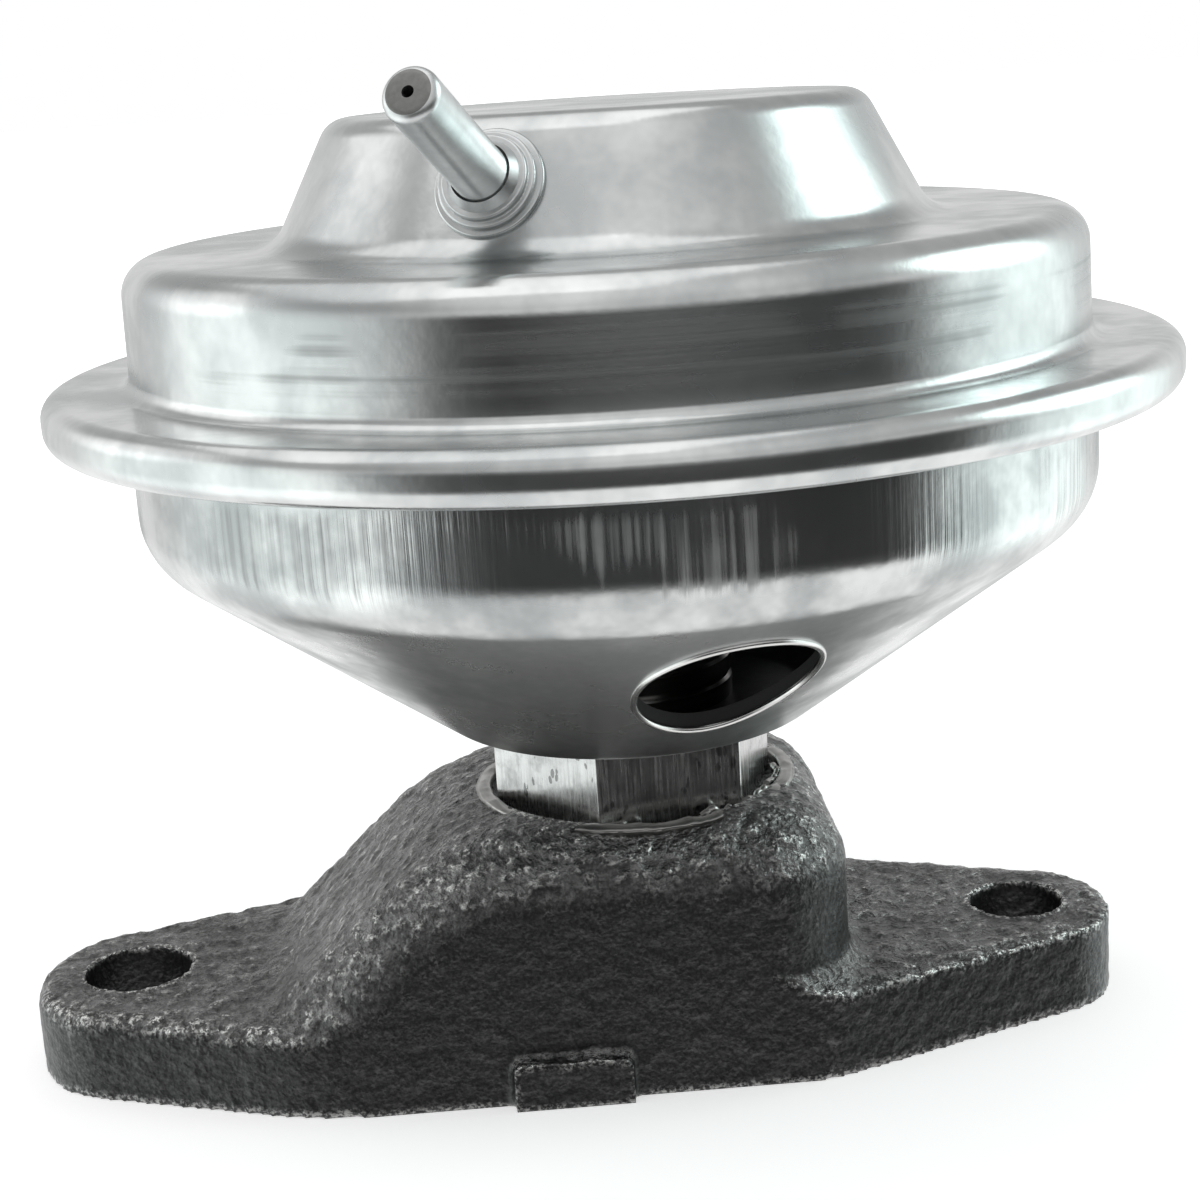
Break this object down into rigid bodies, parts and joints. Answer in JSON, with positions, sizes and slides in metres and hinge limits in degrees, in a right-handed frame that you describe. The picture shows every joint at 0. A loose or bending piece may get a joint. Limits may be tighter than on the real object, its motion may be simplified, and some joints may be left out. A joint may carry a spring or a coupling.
{
  "type": "exhaust gas recirculation valve",
  "caption": "Vacuum-lift exhaust gas recirculation valve: domed diaphragm housing on a hexagonal guide over a two-bolt cast base, with a side hose nipple.",
  "frame": {"origin": "valve axis at the underside of the cast base, in the middle of the inlet port's mouth", "axes": "+Z along the valve axis towards the domed cover; +X along the line of the two bolt holes, towards the shorter ear and away from the outlet port; -Y side carries the locating pad"},
  "size_m": [0.1035, 0.096, 0.0864],
  "materials": {
    "cast_iron": "rough sand-cast grey iron",
    "plated_sheet": "zinc-plated pressed steel, satin",
    "machined_steel": "machined steel",
    "stainless_steel": "ground stainless steel",
    "sintered_bronze": "sintered, oiled",
    "graphite_packing": "pressed graphite",
    "diaphragm_rubber": "fabric-backed rubber",
    "spring_steel": "oil-tempered spring wire"
  },
  "bodies": {
    "housing": {"base_casting": "cast_iron", "valve_seat": "stainless_steel", "stem_guide": "machined_steel", "guide_bushing": "sintered_bronze", "stem_packing": "graphite_packing", "packing_retainer": "machined_steel", "cup_clamp_ring": "machined_steel", "lower_cup": "plated_sheet", "upper_cover": "plated_sheet", "vacuum_nipple": "plated_sheet", "nipple_collar": "plated_sheet", "spring_seat": "plated_sheet", "return_spring": "spring_steel", "diaphragm": "diaphragm_rubber"},
    "stem": {"valve_stem": "stainless_steel", "pintle": "stainless_steel", "soot_deflector": "stainless_steel", "stem_spacer": "machined_steel", "lower_plate": "plated_sheet", "upper_plate": "plated_sheet", "plate_washer": "plated_sheet"}
  },
  "joints": [
    {"name": "stem_lift", "type": "slide", "parent": "housing", "child": "stem", "axis": [0, 0, 1], "range_m": [0, 0.0044], "stiffness_N_per_m": 1100, "springref_m": -0.02, "deforming": ["return_spring", "diaphragm"]}
  ]
}
